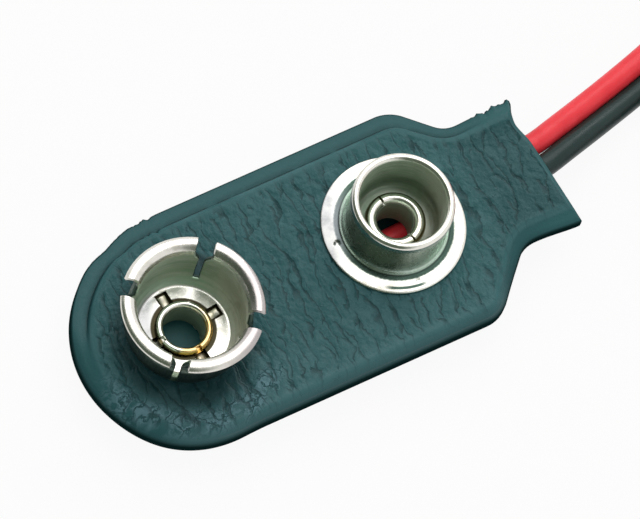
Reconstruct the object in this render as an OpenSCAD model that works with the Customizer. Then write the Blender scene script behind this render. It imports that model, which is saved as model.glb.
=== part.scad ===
// Snap connector for a nine volt battery: two press contacts riveted to a
// stiffener board, sealed between two vinyl sheets, with a red and a black lead.
// It lies on its back with the contacts up. +X points at the tail and the leads.

/* [Cover] */
// Length of the cover, from its round end to the end of its tail
cover_l = 27.4; // [27:0.1:29]
// Width of the cover
cover_w = 12.4; // [11.8:0.1:13.2]
// Distance from the cover's middle to the start of its shoulders
shoulder_x = 7.7; // [7:0.1:8]
// Radius of the shoulders' outer corners
shoulder_r = 2; // [1:0.1:2.5]
// Radius where the shoulders run into the tail
root_r = 1.5; // [0.8:0.1:2]
// Width of the tail
tail_w = 7.3; // [6.6:0.1:8]
// Sideways offset of the tail from the centreline
tail_shift = 0.35; // [0:0.05:0.5]
// Radius of the tail's end corners
tail_r = 0.25; // [0.15:0.05:0.5]
// Thickness of each vinyl sheet
sheet_t = 0.45; // [0.35:0.05:0.6]
// Width of the sealed rim round the raised field
rim_w = 0.55; // [0.45:0.05:0.8]
// Height of the raised field above the rim
field_rise = 0.5; // [0.3:0.05:0.6]
// Sideways offset of the raised field, which leaves the rim wider on one side
field_shift = -0.3; // [-0.35:0.05:0]
// Height of the tail's back above the surface that the connector lies on
tail_lift = 0.95; // [0.6:0.05:1]
// Length of the tail's end that is sealed tight round the leads
tail_seal_l = 2.4; // [1.6:0.1:2.8]

/* [Board] */
// Thickness of the fibre board that the contacts are riveted to
board_t = 0.6; // [0.4:0.1:1]
// Distance from the cover's middle to the board's straight end
board_end_x = 7.2; // [6.9:0.1:7.5]
// Clearance between the board's edge and the cover round it
board_gap = 0.15; // [0.1:0.05:0.3]

/* [Contacts] */
// Distance between the two contacts' axes
contact_pitch = 12.7; // [12.5:0.1:12.9]
// Distance from the cover's round end to the contacts' midpoint
row_in = 12; // [11.7:0.1:12.2]
// Angle of the contact row to the cover, in degrees
row_skew = 2.5; // [0:0.5:3]
// Thickness of the drawn contact metal
metal_t = 0.28; // [0.2:0.02:0.32]

/* [Stud] */
// Radius of the stud's flange
flange_r = 3.8; // [3.6:0.05:4]
// Radius of the stud's neck
neck_r = 2.5; // [2.44:0.01:2.56]
// Radius of the band that the battery's spring terminal grips
stud_grip_r = 2.7; // [2.64:0.01:2.78]
// Height of that band
stud_grip_h = 0.4; // [0.3:0.05:0.5]
// Height of the stud above the cover
stud_h = 3.35; // [3.1:0.05:3.6]
// Radius of the cove between the flange and the neck
cove_r = 0.85; // [0.6:0.05:0.95]
// Radius of the round between the inner wall and the floor
bowl_r = 0.6; // [0.4:0.05:0.7]
// Radius of the rolled rim
stud_roll_r = 0.22; // [0.18:0.01:0.23]

/* [Socket] */
// Radius of the flat base
base_r = 2.3; // [2.2:0.05:2.4]
// How far the belly stands out past the neck above it
belly_out = 0.14; // [0.08:0.02:0.2]
// Height of the belly's widest part above the cover
belly_h = 1.6; // [1.4:0.1:1.8]
// Radius of the neck that grips the battery's stud
socket_grip_r = 2.86; // [2.8:0.01:2.92]
// Height of that neck
socket_grip_h = 0.6; // [0.5:0.05:0.8]
// Radius of the lips, which are rolled outwards
lip_r = 3.72; // [3.6:0.02:3.9]
// Height of the socket above the cover
socket_h = 3.7; // [3.5:0.05:3.9]
// Number of spring petals
petals = 4; // [3:1:5]
// Direction of the first slot between two petals, in degrees
slot_a = 50; // [0:5:90]
// Width of a slot in the socket's wall
slot_w = 0.4; // [0.3:0.05:0.6]
// Width of a slot between two lips
lip_gap = 1; // [0.8:0.05:1.2]
// Width of the windows in the socket's base
window_w = 0.6; // [0.4:0.05:0.7]

/* [Eyelets] */
// Radius of the hole through the socket's eyelet
socket_bore_r = 1.1; // [1:0.05:1.15]
// Radius of the hole through the stud's eyelet
stud_bore_r = 0.95; // [0.85:0.05:1]
// Wall of the eyelets' barrels
eyelet_t = 0.2; // [0.15:0.05:0.25]
// Radius of the rolled rim in the socket
socket_rim_r = 1.5; // [1.45:0.05:1.6]
// Height of that rim
socket_rim_h = 0.35; // [0.25:0.05:0.5]
// Radius of the rolled rim in the stud
stud_rim_r = 1.6; // [1.5:0.05:1.65]
// Height of that rim
stud_rim_h = 0.65; // [0.4:0.05:0.8]
// Radius of the eyelets' feet, which are spread under the board
foot_r = 2.1; // [2:0.05:2.3]
// Thickness of those feet
foot_t = 0.25; // [0.2:0.05:0.35]
// Clearance between an eyelet's barrel and the holes it passes
barrel_gap = 0.04; // [0.03:0.01:0.08]

/* [Leads] */
// Diameter of an insulated lead
lead_d = 1.2; // [1.1:0.05:1.2]
// Diameter of a lead's bare strands
strand_d = 0.6; // [0.4:0.05:0.7]
// Length of the bare strands between a lead's end and its solder joint's middle
strand_l = 1.2; // [1:0.1:1.3]
// Clearance round the leads in the sealed tail
lead_gap = 0.05; // [0.03:0.01:0.08]
// Radius of a solder joint
solder_r = 0.6; // [0.5:0.05:0.65]
// Length of the tinned bare tip of a lead
tip_l = 4; // [3:0.5:4.5]

/* [Coil] */
// Radius of a coil at the middle of its turns
coil_r = 6.6; // [6.4:0.1:6.8]
// Thickness of the tie's strap
tie_t = 0.17; // [0.1:0.01:0.2]
// Width of the tie's strap
tie_w = 1.4; // [1:0.1:2]

/* [Hidden] */
$fn = 96;

vinyl = [0.22, 0.36, 0.38];
nickel = [0.78, 0.78, 0.75];
brass = [0.75, 0.6, 0.3];
copper = [0.72, 0.45, 0.25];
tin = [0.72, 0.72, 0.7];
fibre = [0.55, 0.42, 0.26];
red = [0.85, 0.16, 0.2];
black = [0.12, 0.17, 0.16];
eps = 0.01;
// Extra depth of a cut past the faces that it goes through
through = 1;

function polar(r, a) = r * [cos(a), sin(a)];

// Levels, from the surface that the connector lies on
lead_z = sheet_t + lead_d / 2;
foot_z = sheet_t + lead_d + lead_gap;
board_z = foot_z + foot_t;
roof_z = board_z + board_t;
top_z = roof_z + sheet_t;
rim_z = top_z - field_rise;
weld_z = rim_z - sheet_t;
rim_low_z = weld_z - sheet_t;

// Insets from the cover's outline
edge_round = 0.12;
field_slope = 0.14;
field_round = 0.42;
recess_wall = 0.5;
recess_in = rim_w + recess_wall;
pan_wall = 0.3;
pan_in = rim_w + pan_wall;
pan_slope = 0.5;
pan_round = 0.35;
board_in = recess_in + board_gap;

// Rounding of the outline's arcs
miter = tan(22.5);
end_steps = 24;
bend_steps = 5;
tip_steps = 2;
min_r = 0.1;

// The contacts' axes and the solder joints on their feet
row_mid = [row_in - cover_l / 2, 0];
socket_at = row_mid - polar(contact_pitch / 2, row_skew);
stud_at = row_mid + polar(contact_pitch / 2, row_skew);
red_solder_a = 0;
black_solder_a = -60;
red_solder_at = socket_at + polar(foot_r - solder_r, red_solder_a);
black_solder_at = stud_at + polar(foot_r - solder_r, black_solder_a);

// The leads' routes, from their solder joints to their coils
red_start = [red_solder_at.x + strand_l, red_solder_at.y, lead_z];
black_start = [black_solder_at.x + strand_l, black_solder_at.y, lead_z];
straight = [lead_d / 2, 0, 0];
red_route = [red_start, red_start + straight, [-3, -0.2, lead_z], [0, 0, lead_z], [3, 0.2, lead_z],
             [5.5, 0.3, lead_z], [7.5, 0.5, 1.1], [9, 0.8, 1.4], [10.3, 1.1, 1.8], [11.6, 1.35, 2],
             [12.7, 1.45, 2.05], [13.8, 1.5, 2.05], [15.5, 1.9, 1.9], [18, 2.57, 1.5], [20.5, 3.27, 1.2],
             [22.5, 3.83, 1.25], [24.5, 4.4, 1.65], [26.5, 4.63, 2], [28.4, 4.4, 2], [30.26, 4.07, 2]];
black_route = [black_start, black_start + straight, [9, -0.8, 1.4], [10.3, -0.4, 1.8], [11.6, 0, 2],
               [12.7, 0.1, 2.05], [13.8, 0.2, 2.05], [15.5, 0.62, 1.9], [18, 1.33, 1.35],
               [20.5, 2.05, 0.9], [22.5, 2.65, 0.8], [24.5, 3.28, 0.8], [26.49, 3.88, 0.8]];
// From a coil's inner turn to the bare tip, measured from the coils' axis
end_route = [[-1.32, 4.61], [0.3, 4.7], [1.7, 4.1], [2.7, 2.9], [2.95, 1.5], [2.35, 0.3]];
end_way = end_route[len(end_route) - 1] - end_route[len(end_route) - 2];
end_dir = atan2(end_way.y, end_way.x);
// Turn of the red lead's end from the black one's, in degrees
red_end_turn = -26;

// The coils
coil_turns = 3;
coil_at = [28.8, -4.2];
coil_z = 0.2;
coil_gap = 0.08;
tie_a = 190;
black_z = coil_z + lead_d / 2;
red_z = black_z + lead_d;
coil_in = coil_r - (coil_turns + 1) * lead_d / 2;
coil_out = coil_r + (coil_turns + 1) * lead_d / 2;

// Points on an arc round a centre
function arc(c, r, a0, a1, n) = [for (i = [0 : n]) c + polar(r, a0 + (a1 - a0) * i / n)];

// Points on a quarter of an ellipse that leaves one point level and reaches the other upright
function bowl(from, to, n) =
    [for (i = [0 : n])
        let (a = 90 * i / n)
        [from.x + (to.x - from.x) * sin(a), from.y + (to.y - from.y) * (1 - cos(a))]];

// The cover's outline, from the tail's end round the body and back, set in by a margin
function outline(inset, end_in = 0, shift = 0) =
    let (half = cover_w / 2 - inset,
         tip_x = cover_l / 2 - end_in,
         far = tail_shift + tail_w / 2 - inset,
         near = tail_shift - tail_w / 2 + inset,
         corner_x = shoulder_x - miter * inset,
         far_root_x = corner_x + half - far,
         near_root_x = corner_x + half + near,
         tr = max(tail_r - inset, min_r),
         sr = max(shoulder_r - inset, min_r),
         rr = root_r + inset,
         flat = concat(
             arc([tip_x - tr, far - tr], tr, 0, 90, tip_steps),
             arc([far_root_x + miter * rr, far + rr], rr, -90, -135, bend_steps),
             arc([corner_x - miter * sr, half - sr], sr, 45, 90, bend_steps),
             arc([inset - cover_l / 2 + half, 0], half, 90, 270, end_steps),
             arc([corner_x - miter * sr, sr - half], sr, 270, 315, bend_steps),
             arc([near_root_x + miter * rr, near - rr], rr, 135, 90, bend_steps),
             arc([tip_x - tr, near + tr], tr, 270, 360, tip_steps)))
    [for (p = flat) p + [0, shift]];

// A ring of the outline at one level
function level(inset, z, end_in = 0, shift = 0) = [for (p = outline(inset, end_in, shift)) [p.x, p.y, z]];

// Height of the back, which steps up from the body to the tail
lift_from = 8;
lift_to = 11;
function back_z(x) =
    let (t = min(max((x - lift_from) / (lift_to - lift_from), 0), 1))
    tail_lift * (1 - cos(180 * t)) / 2;

// A ring of the outline that follows the back's step
function back_level(inset, rise, end_in = 0) =
    [for (p = outline(inset, end_in, field_shift)) [p.x, p.y, back_z(p.x) + rise]];

// A closed skin over a stack of rings, from the lowest face to the highest
module skin(rings) {
    n = len(rings[0]);
    last = (len(rings) - 1) * n;
    rungs = [for (i = [0 : floor(n / 2) - 1]) i];
    sides = [for (k = [0 : len(rings) - 2], i = [0 : n - 1], half = [0, 1])
        let (a = k * n + i, b = k * n + (i + 1) % n)
        half == 0 ? [a, a + n, b] : [b, a + n, b + n]];
    floor_1 = [for (i = rungs) [i, i + 1, n - 1 - i]];
    floor_2 = [for (i = rungs) if (i + 1 < n - 2 - i) [i + 1, n - 2 - i, n - 1 - i]];
    lid_1 = [for (f = floor_1) [last + f[2], last + f[1], last + f[0]]];
    lid_2 = [for (f = floor_2) [last + f[2], last + f[1], last + f[0]]];
    polyhedron([for (r = rings, p = r) p], concat(sides, floor_1, floor_2, lid_1, lid_2));
}

function unit(v) = v / norm(v);

// A round tube along a route
lead_sides = 8;
function tube_ring(route, i, r) =
    let (a = route[max(i - 1, 0)],
         b = route[min(i + 1, len(route) - 1)],
         t = unit(b - a),
         side = unit(cross(t, [0, 0, 1])),
         up = cross(side, t))
    [for (k = [0 : lead_sides - 1])
        let (w = 360 * (k + 0.5) / lead_sides)
        route[i] + r * (cos(w) * side + sin(w) * up)];

module tube(route, r) {
    n = lead_sides;
    last = (len(route) - 1) * n;
    sides = [for (k = [0 : len(route) - 2], i = [0 : n - 1], half = [0, 1])
        let (a = k * n + i, b = k * n + (i + 1) % n)
        half == 0 ? [a, b, a + n] : [b, b + n, a + n]];
    start = [for (i = [n - 1 : -1 : 0]) i];
    end = [for (i = [0 : n - 1]) last + i];
    polyhedron([for (i = [0 : len(route) - 1], p = tube_ring(route, i, r)) p], concat(sides, [start, end]));
}

module lead_channels() {
    tube(red_route, lead_d / 2 + lead_gap);
    tube(black_route, lead_d / 2 + lead_gap);
}

module at_contact(at, z = 0) {
    translate([at.x, at.y, z]) children();
}

function hole_r(bore_r) = bore_r + eyelet_t + barrel_gap;

module barrel_hole(at, bore_r, z0, z1) {
    at_contact(at, z0 - through) cylinder(r = hole_r(bore_r), h = z1 - z0 + 2 * through);
}

// Grained upper sheet: a flat rim, a raised field and a recess for the board
module top_cover() {
    color(vinyl) difference() {
        skin([
            level(recess_in, roof_z, tail_seal_l, field_shift),
            level(recess_in, weld_z, tail_seal_l, field_shift),
            level(0, weld_z),
            level(0, rim_z - edge_round),
            level(edge_round, rim_z, edge_round),
            level(rim_w, rim_z, edge_round + eps, field_shift),
            level(rim_w + field_slope, top_z - field_slope, edge_round + field_slope, field_shift),
            level(rim_w + field_round, top_z, field_round, field_shift)]);
        lead_channels();
        barrel_hole(socket_at, socket_bore_r, roof_z, top_z);
        barrel_hole(stud_at, stud_bore_r, roof_z, top_z);
    }
}

// Lower sheet, pressed into a shallow pan for the leads, with a thinner tail
module back_cover() {
    color(vinyl) difference() {
        skin([
            back_level(pan_in + pan_slope + pan_round, 0, pan_in),
            back_level(pan_in + pan_slope, pan_round / 2, edge_round),
            level(pan_in, rim_low_z, edge_round / 2, field_shift),
            level(edge_round, rim_low_z),
            level(0, rim_low_z + edge_round),
            level(0, weld_z),
            level(recess_in, weld_z, tail_seal_l, field_shift),
            back_level(recess_in + pan_slope + pan_round, sheet_t, tail_seal_l)]);
        lead_channels();
    }
}

// Fibre strip that the contacts are riveted through
module stiffener_board() {
    half = cover_w / 2 - board_in;
    color(fibre) difference() {
        translate([0, field_shift, board_z]) linear_extrude(board_t)
            polygon(concat(
                arc([half + board_in - cover_l / 2, 0], half, 90, 270, end_steps),
                arc([board_end_x - shoulder_r, shoulder_r - half], shoulder_r, 270, 360, bend_steps),
                arc([board_end_x - shoulder_r, half - shoulder_r], shoulder_r, 0, 90, bend_steps)));
        barrel_hole(socket_at, socket_bore_r, board_z, roof_z);
        barrel_hole(stud_at, stud_bore_r, board_z, roof_z);
    }
}

// Section of the socket: base, belly, gripping neck and a lip rolled outwards
lip_roll = (lip_r - socket_grip_r) / 2;
lip_rise = 0.1;
lip_t = 0.24;
neck_top = socket_h - lip_roll - lip_rise;
neck_low = neck_top - socket_grip_h;
neck_slope = 0.3;
slot_foot = 2 * metal_t;
window_end = 0.1;
function socket_wall(out) =
    let (belly_r = socket_grip_r + belly_out + out * metal_t)
    concat(
        bowl([base_r, (1 - out) * metal_t], [belly_r, belly_h], bend_steps),
        [[belly_r, neck_low - neck_slope],
         [socket_grip_r + out * metal_t, neck_low],
         [socket_grip_r + out * metal_t, neck_top]]);
lip_mid = [lip_r - lip_roll, neck_top + lip_rise];
lip_top = arc(lip_mid, lip_roll, 155, 20, 7);
lip_under = arc(lip_mid, lip_roll - lip_t, 10, 120, 4);

module socket_cup() {
    inner_r = hole_r(socket_bore_r);
    outside = socket_wall(1);
    color(nickel) at_contact(socket_at, top_z) difference() {
        rotate_extrude() polygon(concat(
            [[inner_r, 0], [inner_r, metal_t]], socket_wall(0), lip_top, lip_under,
            [for (i = [len(outside) - 1 : -1 : 0]) outside[i]]));
        for (i = [0 : petals - 1]) rotate(slot_a + i * 360 / petals) {
            translate([base_r, -slot_w / 2, slot_foot]) cube([lip_r, slot_w, socket_h]);
            translate([base_r, -lip_gap / 2, neck_top - lip_rise]) cube([lip_r, lip_gap, socket_h]);
            rotate(180 / petals) translate([inner_r - eps, -window_w / 2, -through])
                cube([base_r - inner_r - window_end, window_w, metal_t + 2 * through]);
        }
    }
}

// Rivet with a rolled rim above the contact and a spread foot under the board
eyelet_bevel = 0.05;
foot_bevel = 0.1;
module eyelet(at, bore_r, rim_r, rim_h) {
    wall_r = bore_r + eyelet_t;
    seat_z = top_z + metal_t;
    roll_r = (rim_r - bore_r) / 2;
    rim_top = seat_z + rim_h;
    at_contact(at) rotate_extrude() polygon(concat(
        [[bore_r + foot_bevel, foot_z], [foot_r, foot_z], [foot_r, board_z], [wall_r, board_z],
         [wall_r, seat_z], [rim_r - eyelet_bevel, seat_z], [rim_r, seat_z + eyelet_bevel]],
        arc([bore_r + roll_r, rim_top - roll_r], roll_r, 0, 180, 8),
        [[bore_r, foot_z + foot_bevel]]));
}

module socket_eyelet() {
    color(brass) eyelet(socket_at, socket_bore_r, socket_rim_r, socket_rim_h);
}

module stud_eyelet() {
    color(nickel) eyelet(stud_at, stud_bore_r, stud_rim_r, stud_rim_h);
}

// Drawn stud: flange, cove, neck and a rolled rim, folded back down to its floor
flange_bevel = 0.06;
module stud_cup() {
    floor_r = hole_r(stud_bore_r);
    inner_r = neck_r - metal_t;
    band_top = stud_h - stud_roll_r;
    band_low = band_top - stud_grip_h;
    color(nickel) at_contact(stud_at, top_z) rotate_extrude() polygon(concat(
        [[floor_r, 0], [flange_r - flange_bevel, 0], [flange_r, flange_bevel],
         [flange_r, metal_t - flange_bevel], [flange_r - flange_bevel, metal_t]],
        arc([neck_r + cove_r, metal_t + cove_r], cove_r, 270, 180, 6),
        [[neck_r, band_low - neck_slope], [stud_grip_r, band_low], [stud_grip_r, band_top]],
        arc([stud_grip_r - stud_roll_r, band_top], stud_roll_r, 20, 180, 6),
        [[inner_r, band_low - neck_slope]],
        arc([inner_r - bowl_r, metal_t + bowl_r], bowl_r, 0, -90, 5),
        [[floor_r, metal_t]]));
}

// Bare strands from a lead's end into its solder joint
module strands(start, joint) {
    translate([joint.x, joint.y, lead_z]) rotate([0, 90, 0]) cylinder(d = strand_d, h = start.x - joint.x);
}

module red_strands() {
    color(copper) strands(red_start, red_solder_at);
}

module black_strands() {
    color(copper) strands(black_start, black_solder_at);
}

// Solder drop under an eyelet's foot, with the strands set in it
solder_gap = 0.15;
module solder(start, joint) {
    drop_h = foot_z - sheet_t - solder_gap;
    difference() {
        at_contact(joint, foot_z) rotate_extrude()
            polygon(concat([[0, 0]], bowl([0, -drop_h], [solder_r, 0], bend_steps)));
        strands(start, joint);
    }
}

module red_solder() {
    color(tin) solder(red_start, red_solder_at);
}

module black_solder() {
    color(tin) solder(black_start, black_solder_at);
}

// The free end of a lead, from its coil's inner turn to its bare tip
function turned(p, a) = [p.x * cos(a) - p.y * sin(a), p.x * sin(a) + p.y * cos(a)];
function lead_end(z, turn) = [for (p = end_route) let (q = coil_at + turned(p, turn)) [q.x, q.y, z]];
red_end = lead_end(red_z, red_end_turn);
black_end = lead_end(black_z, 0);

module lead(route, end, r = lead_d / 2) {
    tube(route, r);
    tube(end, r);
}

module red_lead() {
    color(red) lead(red_route, red_end);
}

module black_lead() {
    color(black) lead(black_route, black_end);
}

// The turns of one lead, as the ring that they fill
module coil(z, route, end) {
    difference() {
        translate([coil_at.x, coil_at.y, z - lead_d / 2]) rotate_extrude()
            translate([coil_in, 0]) square([coil_out - coil_in, lead_d]);
        lead(route, end, lead_d / 2 + coil_gap);
    }
}

module red_coil() {
    color(red) coil(red_z, red_route, red_end);
}

module black_coil() {
    color(black) coil(black_z, black_route, black_end);
}

// Tinned tip of a lead
module tip(end, turn) {
    translate(end[len(end) - 1]) rotate([0, 90, end_dir + turn]) cylinder(d = strand_d, h = tip_l);
}

module red_tip() {
    color(tin) tip(red_end, red_end_turn);
}

module black_tip() {
    color(tin) tip(black_end, 0);
}

// Strap round both coils
tie_gap = 0.03;
tie_slack = 0.2;
module lead_tie() {
    room = [coil_out - coil_in + tie_slack + tie_gap, tie_w, 2 * (lead_d + tie_gap)];
    color(tin) translate([coil_at.x, coil_at.y, coil_z - tie_gap]) rotate(tie_a)
        translate([coil_in - tie_slack, -tie_w / 2, 0]) difference() {
            translate([-tie_t, 0, -tie_t]) cube(room + [2 * tie_t, 0, 2 * tie_t]);
            translate([0, -through, 0]) cube(room + [0, 2 * through, 0]);
        }
}

top_cover();
back_cover();
stiffener_board();
socket_cup();
socket_eyelet();
stud_cup();
stud_eyelet();
red_strands();
red_solder();
black_strands();
black_solder();
red_lead();
black_lead();
red_coil();
black_coil();
red_tip();
black_tip();
lead_tie();
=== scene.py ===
import math

import bpy
import bmesh
from mathutils import Matrix, Vector, noise


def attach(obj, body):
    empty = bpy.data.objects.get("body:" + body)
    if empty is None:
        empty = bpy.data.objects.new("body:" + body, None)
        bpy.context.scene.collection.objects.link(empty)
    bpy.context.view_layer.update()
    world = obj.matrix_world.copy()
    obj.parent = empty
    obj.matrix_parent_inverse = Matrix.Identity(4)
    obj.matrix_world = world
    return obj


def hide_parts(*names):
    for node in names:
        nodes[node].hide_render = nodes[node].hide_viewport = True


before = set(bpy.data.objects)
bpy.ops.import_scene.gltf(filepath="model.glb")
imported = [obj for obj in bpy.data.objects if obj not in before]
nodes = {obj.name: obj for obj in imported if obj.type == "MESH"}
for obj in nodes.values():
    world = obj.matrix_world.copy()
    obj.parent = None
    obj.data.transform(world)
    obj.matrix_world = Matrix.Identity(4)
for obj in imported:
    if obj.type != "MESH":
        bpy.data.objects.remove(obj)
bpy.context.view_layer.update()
scene = bpy.context.scene
scene.view_settings.view_transform = "Standard"
mm = 0.001  # every size below is in millimetres
print("frame loaded:", len(nodes), "nodes")


class Flow:  # wraps a socket, so that sums on it add their Math nodes
    def __init__(self, tree, socket=None):
        self.tree = tree
        self.socket = socket

    def make(self, kind, settings=None, sockets=None, out=0):
        node = self.tree.nodes.new(kind)
        for key, value in (settings or {}).items():
            setattr(node, key, value)
        for key, value in (sockets or {}).items():
            for one in value if isinstance(value, list) else [value]:
                if isinstance(one, Flow):
                    self.tree.links.new(one.socket, node.inputs[key])
                else:
                    node.inputs[key].default_value = one
        return Flow(self.tree, node.outputs[out] if len(node.outputs) else None)

    def sum(self, operation, first, second):
        return self.make("ShaderNodeMath", {"operation": operation}, {0: first, 1: second})

    def __add__(self, other):
        return self.sum("ADD", self, other)

    def __radd__(self, other):
        return self.sum("ADD", other, self)

    def __sub__(self, other):
        return self.sum("SUBTRACT", self, other)

    def __rsub__(self, other):
        return self.sum("SUBTRACT", other, self)

    def __mul__(self, other):
        return self.sum("MULTIPLY", self, other)

    def __rmul__(self, other):
        return self.sum("MULTIPLY", other, self)

    def __truediv__(self, other):
        return self.sum("DIVIDE", self, other)

    def __rtruediv__(self, other):
        return self.sum("DIVIDE", other, self)

    def atMost(self, other):
        return self.sum("MINIMUM", self, other)

    def atLeast(self, other):
        return self.sum("MAXIMUM", self, other)

    def ease(self, low, high):  # 0 at low, 1 at high, smooth between
        return self.make("ShaderNodeMapRange", {"interpolation_type": "SMOOTHSTEP"},
                         {"Value": self, "From Min": low, "From Max": high})

    def stretch(self, factors):
        return self.make("ShaderNodeVectorMath", {"operation": "MULTIPLY"}, {0: self, 1: factors})

    def shift(self, other):
        return self.make("ShaderNodeVectorMath", {"operation": "ADD"}, {0: self, 1: other})

    def clouds(self, scale, detail=3.0, rough=0.5, out="Fac"):
        return self.make("ShaderNodeTexNoise", None,
                         {"Vector": self, "Scale": scale, "Detail": detail, "Roughness": rough}, out)

    def within(self, a, b, c, d):  # rises from 0 to 1 between a and b, and falls between c and d
        return self.ease(a, b) * (1 - self.ease(c, d))

    def cracks(self, scale):  # distance to the edges of scattered cells
        return self.make("ShaderNodeTexVoronoi", {"feature": "DISTANCE_TO_EDGE"},
                         {"Vector": self, "Scale": scale}, "Distance")

    def cells(self, scale, out):  # the same cells, seen from their middles
        return self.make("ShaderNodeTexVoronoi", {"feature": "F1"}, {"Vector": self, "Scale": scale}, out)

    def part(self, axis):
        return self.make("ShaderNodeSeparateXYZ", None, {0: self}, axis)

    def blend(self, first, second, share):  # two colours, with a share of the second one
        first, second = (c if isinstance(c, Flow) else (*c, 1) for c in (first, second))
        return self.make("ShaderNodeMix", {"data_type": "RGBA"}, {0: share, 6: first, 7: second}, 2)


def newMaterial(name):
    material = bpy.data.materials.new(name)
    material.use_nodes = True
    material.node_tree.nodes.clear()
    return material, Flow(material.node_tree)


def inMillimetres(flow):
    return flow.make("ShaderNodeTexCoord", None, None, "Object").stretch((1 / mm,) * 3)


def paint(flow, sockets):
    shader = flow.make("ShaderNodeBsdfPrincipled", None, sockets)
    flow.make("ShaderNodeOutputMaterial", None, {"Surface": shader})


def relief(flow, height, depth):  # depth in millimetres
    return flow.make("ShaderNodeBump", None,
                     {"Height": height, "Strength": 1.0, "Distance": depth * mm}, "Normal")


def marked(flow, label):  # a value that the mesh's points carry
    return flow.make("ShaderNodeAttribute", {"attribute_name": label}, None, "Fac")


def fromAxis(flow, place, at):  # the way out from an upright axis, and its length
    out = place.stretch((1, 1, 0)).shift((-at[0], -at[1], 0))
    return out, flow.make("ShaderNodeVectorMath", {"operation": "LENGTH"}, {0: out}, "Value")


def leaning(flow, out, way):  # how far the way out goes along another one
    return flow.make("ShaderNodeVectorMath", {"operation": "DOT_PRODUCT"}, {0: out, 1: way}, "Value")


def polar(radius, degrees):
    a = math.radians(degrees)
    return Vector((radius * math.cos(a), radius * math.sin(a)))


def arc(centre, radius, start, end, steps):
    return [Vector(centre) + polar(radius, start + (end - start) * i / steps) for i in range(steps + 1)]


def ease(t):
    t = min(max(t, 0.0), 1.0)
    return t * t * (3 - 2 * t)


def ramp(value, span):  # from 0 to 1 over a span, given as its start and length
    return ease((value - span[0]) / span[1])


def newPiece(name, points, faces, material, sharp=35, marks=None):
    mesh = bpy.data.meshes.new(name)
    mesh.from_pydata([Vector(p) * mm for p in points], [], faces)
    for label, values in (marks or {}).items():
        mesh.attributes.new(label, "FLOAT", "POINT").data.foreach_set("value", values)
    piece = bpy.data.objects.new(name, mesh)
    scene.collection.objects.link(piece)
    mesh.materials.append(material)
    finishMesh(piece, sharp)
    return piece


def finishMesh(piece, sharp=35):  # doubles merged, faces outwards, smooth up to an angle
    tiny = 0.0004 * mm
    work = bmesh.new()
    work.from_mesh(piece.data)
    bmesh.ops.remove_doubles(work, verts=work.verts, dist=tiny)
    bmesh.ops.dissolve_degenerate(work, edges=work.edges, dist=tiny)
    bmesh.ops.recalc_face_normals(work, faces=work.faces)
    work.to_mesh(piece.data)
    work.free()
    for face in piece.data.polygons:
        face.use_smooth = True
    piece.data.set_sharp_from_angle(angle=math.radians(sharp))


def bakeModifiers(piece):
    graph = bpy.context.evaluated_depsgraph_get()
    mesh = bpy.data.meshes.new_from_object(piece.evaluated_get(graph), preserve_all_data_layers=True,
                                           depsgraph=graph)
    piece.modifiers.clear()
    piece.data = mesh


def cutAway(piece, cutter):  # a boolean cut, with the cutter thrown away
    cut = piece.modifiers.new("cut", "BOOLEAN")
    cut.operation = "DIFFERENCE"
    cut.solver = "EXACT"
    cut.object = cutter
    bakeModifiers(piece)
    bpy.data.objects.remove(cutter)


def newTree(name, inputs):  # a geometry tree with named inputs
    tree = bpy.data.node_groups.new(name, "GeometryNodeTree")
    tree.interface.new_socket("Geometry", in_out="INPUT", socket_type="NodeSocketGeometry")
    for label, kind in inputs.items():
        tree.interface.new_socket(label, in_out="INPUT", socket_type=kind)
    tree.interface.new_socket("Geometry", in_out="OUTPUT", socket_type="NodeSocketGeometry")
    flow = Flow(tree)
    entry = tree.nodes.new("NodeGroupInput")
    return tree, flow, {socket.name: Flow(tree, socket) for socket in entry.outputs if socket.name}


def endTree(flow, shape, material):
    solid = flow.make("GeometryNodeRealizeInstances", None, {"Geometry": shape})
    dressed = flow.make("GeometryNodeSetMaterial", None, {"Geometry": solid, "Material": material})
    flow.make("NodeGroupOutput", None, {"Geometry": dressed})


def runTree(piece, tree, values):
    modifier = piece.modifiers.new(tree.name, "NODES")
    modifier.node_group = tree
    for item in tree.interface.items_tree:
        if item.item_type == "SOCKET" and item.in_out == "INPUT" and item.name in values:
            modifier[item.identifier] = values[item.name]
    bakeModifiers(piece)


def handOver(piece, slot, *cadNodes):  # a finished piece, hung on the root body, with the nodes it stands for hidden
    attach(piece, "root")
    if cadNodes:
        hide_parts(*cadNodes)


# camera, at the photograph's angle
shot = {
    "azimuth": -49.485,
    "elevation": 65.233,
    "roll": 22.7,
    "target": (0.073, 0.046, 3.636),
    "distance": 623.8,
    "frameWidth": 32.673,  # what the frame takes in at the target
    "sensor": 36.0,
    "clip": (10, 20000),
}


def placeCamera():
    a, e, r = (math.radians(shot[k]) for k in ("azimuth", "elevation", "roll"))
    back = Vector((math.sin(a) * math.cos(e), -math.cos(a) * math.cos(e), math.sin(e)))
    level = Vector((math.cos(a), math.sin(a), 0))
    upright = back.cross(level)
    right = level * math.cos(r) + upright * math.sin(r)
    up = upright * math.cos(r) - level * math.sin(r)
    lens = bpy.data.cameras.new("shot")
    lens.sensor_fit = "HORIZONTAL"
    lens.sensor_width = shot["sensor"]
    lens.lens = shot["sensor"] * shot["distance"] / shot["frameWidth"]
    lens.clip_start, lens.clip_end = (x * mm for x in shot["clip"])
    camera = bpy.data.objects.new("shot", lens)
    eye = Vector(shot["target"]) + back * shot["distance"]
    camera.matrix_world = Matrix.Translation(eye * mm) @ Matrix((right, up, back)).transposed().to_4x4()
    scene.collection.objects.link(camera)
    scene.camera = camera


placeCamera()
print("camera placed")

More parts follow.
